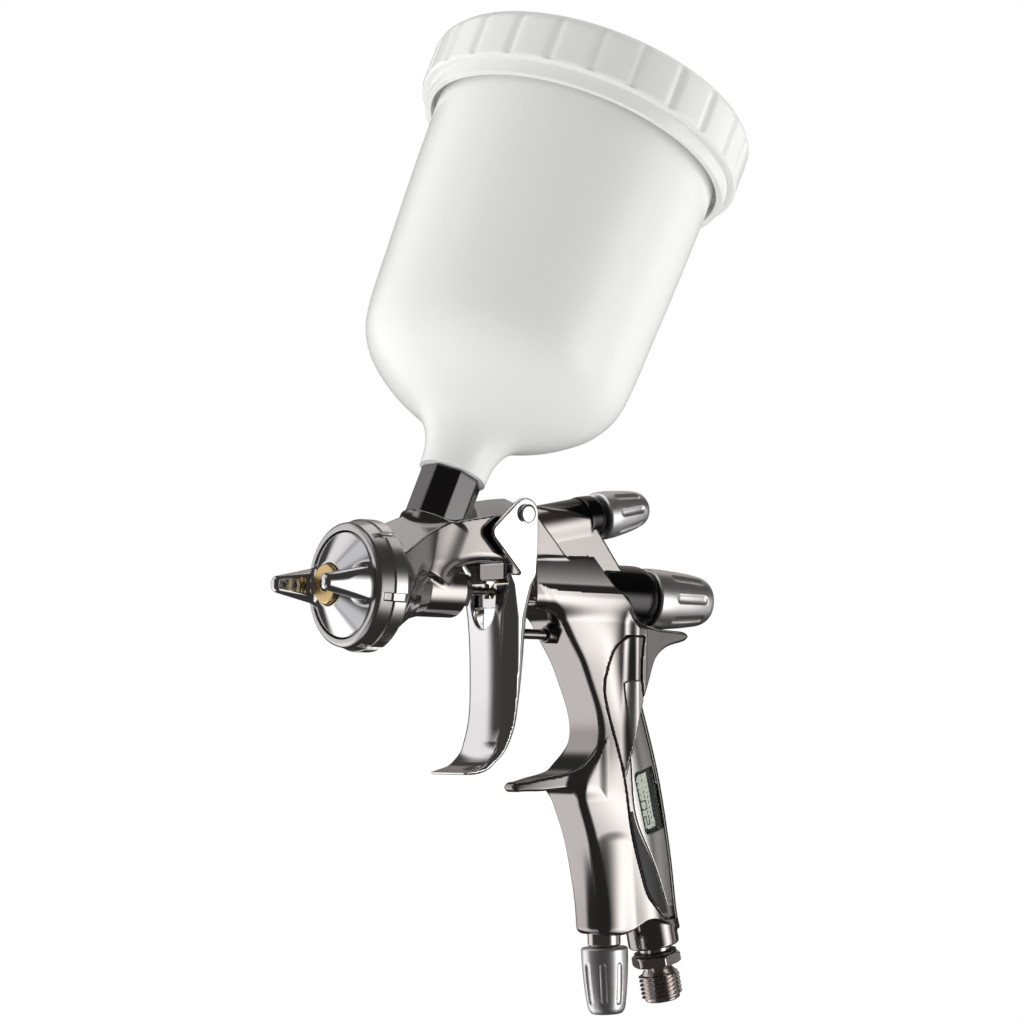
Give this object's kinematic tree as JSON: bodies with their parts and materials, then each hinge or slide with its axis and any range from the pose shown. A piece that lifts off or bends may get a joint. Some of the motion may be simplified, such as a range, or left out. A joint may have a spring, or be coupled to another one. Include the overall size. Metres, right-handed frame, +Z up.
{
  "type": "hvlp spray gun",
  "caption": "Gravity-feed paint spray gun with a hinged trigger, turning control knobs, a digital pressure gauge in the grip and a lidded paint cup.",
  "frame": {"origin": "middle of the grip, where a hand holds the gun", "axes": "+Z up along the gun's height, -X the way it sprays, +Y to its right-hand side seen from behind, the gun being the same either side of y = 0 but for its gauge and screws"},
  "size_m": [0.1581, 0.1052, 0.3102],
  "materials": {
    "body_chrome": "smoked chrome plate, polished",
    "black_chrome": "black chrome, polished",
    "trigger_chrome": "bright chrome, polished",
    "cap_chrome": "bright polished",
    "ring_nickel": "satin nickel",
    "knob_aluminium": "satin anodised",
    "brass": "satin",
    "steel": "machined",
    "inlet_nickel": "nickel plated",
    "black_plastic": "matt",
    "seal_plastic": "matt",
    "cup_plastic": "translucent, satin",
    "lens_clear": "clear",
    "display_film": "reflective grey-green",
    "board_green": "solder mask",
    "gauge_silver": "satin silver"
  },
  "bodies": {
    "gun": {"gun_body": "body_chrome", "cup_joint": "black_chrome", "fluid_nozzle": "steel", "air_baffle": "seal_plastic", "needle_packing": "seal_plastic", "needle_packing_nut": "steel", "needle_housing": "black_chrome", "needle_spring": "steel", "pattern_valve_housing": "black_chrome", "trigger_pivot_stud": "steel", "trigger_pivot_screw": "steel", "air_valve_guide": "brass", "air_valve_seal": "black_plastic", "air_valve_spring": "steel", "air_control_housing": "knob_aluminium", "air_inlet_fitting": "inlet_nickel", "inlet_gasket": "black_plastic", "gauge_tray": "black_plastic", "pressure_sensor": "steel", "circuit_board": "board_green", "battery": "steel", "display": "display_film", "gauge_cover": "gauge_silver", "gauge_lens": "lens_clear", "gauge_screw_1": "steel", "gauge_screw_2": "steel"},
    "cap_ring": {"air_cap_ring": "ring_nickel"},
    "air_cap": {"air_cap": "cap_chrome", "air_cap_insert": "brass"},
    "trigger": {"trigger": "trigger_chrome"},
    "needle": {"fluid_needle": "steel", "needle_sleeve": "brass"},
    "air_valve": {"air_valve_stem": "steel"},
    "fluid_spindle": {"fluid_spindle": "steel"},
    "fluid_knob": {"fluid_knob": "knob_aluminium"},
    "pattern_spindle": {"pattern_spindle": "steel"},
    "pattern_knob": {"pattern_knob": "knob_aluminium"},
    "air_spindle": {"air_control_spindle": "steel"},
    "air_knob": {"air_control_knob": "knob_aluminium"},
    "cup": {"paint_cup": "cup_plastic", "paint_filter": "seal_plastic"},
    "lid": {"cup_lid": "cup_plastic"},
    "vent_plug": {"lid_vent_plug": "cup_plastic"}
  },
  "joints": [
    {"name": "trigger_pull", "type": "hinge", "parent": "gun", "child": "trigger", "pos_m": [-0.04595, 0, 0.08374], "axis": [0, -1, 0], "range_deg": [0, 13], "stiffness_Nm_per_rad": 1.6, "springref_deg": -8.59},
    {"name": "needle_pull", "type": "slide", "parent": "gun", "child": "needle", "axis": [1, 0, 0], "range_m": [0, 0.0064], "deforming": ["needle_spring"]},
    {"name": "air_valve_pull", "type": "slide", "parent": "gun", "child": "air_valve", "axis": [1, 0, 0], "range_m": [0, 0.009], "deforming": ["air_valve_spring"]},
    {"name": "fluid_knob_travel", "type": "slide", "parent": "gun", "child": "fluid_spindle", "axis": [1, 0, 0], "range_m": [0, 0.00225]},
    {"name": "fluid_knob_turn", "type": "hinge", "parent": "fluid_spindle", "child": "fluid_knob", "pos_m": [0.012, 0, 0.06], "axis": [1, 0, 0], "range_deg": [0, 1120]},
    {"name": "pattern_knob_travel", "type": "slide", "parent": "gun", "child": "pattern_spindle", "axis": [0.981, 0, 0.1938], "range_m": [0, 0.00169]},
    {"name": "pattern_knob_turn", "type": "hinge", "parent": "pattern_spindle", "child": "pattern_knob", "pos_m": [-0.0073, 0, 0.0854], "axis": [0.981, 0, 0.1938], "range_deg": [0, 840]},
    {"name": "air_knob_travel", "type": "slide", "parent": "gun", "child": "air_spindle", "axis": [0.062, 0, -0.9981], "range_m": [0, 0.00169]},
    {"name": "air_knob_turn", "type": "hinge", "parent": "air_spindle", "child": "air_knob", "pos_m": [-0.0025, 0, -0.0498], "axis": [0.062, 0, -0.9981], "range_deg": [0, 840]},
    {"name": "cap_ring_turn", "type": "hinge", "parent": "gun", "child": "cap_ring", "pos_m": [-0.1, 0, 0.06], "axis": [1, 0, 0], "range_deg": [-90, 90]},
    {"name": "air_cap_turn", "type": "hinge", "parent": "gun", "child": "air_cap", "pos_m": [-0.103, 0, 0.06], "axis": [1, 0, 0], "range_deg": [-90, 90]},
    {"name": "cup_turn", "type": "hinge", "parent": "gun", "child": "cup", "pos_m": [-0.06494, 0, 0.09464], "axis": [0.4044, 0, 0.9146], "range_deg": [-45, 45]},
    {"name": "lid_lift", "type": "slide", "parent": "cup", "child": "lid", "axis": [0.4044, 0, 0.9146], "range_m": [0, 0.045]},
    {"name": "vent_plug_lift", "type": "slide", "parent": "lid", "child": "vent_plug", "axis": [0.4044, 0, 0.9146], "range_m": [0, 0.006]}
  ],
  "couplings": [
    {"joint": "needle_pull", "follows": "trigger_pull", "m_per_rad": 0.0268},
    {"joint": "air_valve_pull", "follows": "trigger_pull", "m_per_rad": 0.038},
    {"joint": "fluid_knob_turn", "follows": "fluid_knob_travel", "rad_per_m": 8377.6},
    {"joint": "pattern_knob_turn", "follows": "pattern_knob_travel", "rad_per_m": 8377.6},
    {"joint": "air_knob_turn", "follows": "air_knob_travel", "rad_per_m": 8377.6}
  ]
}
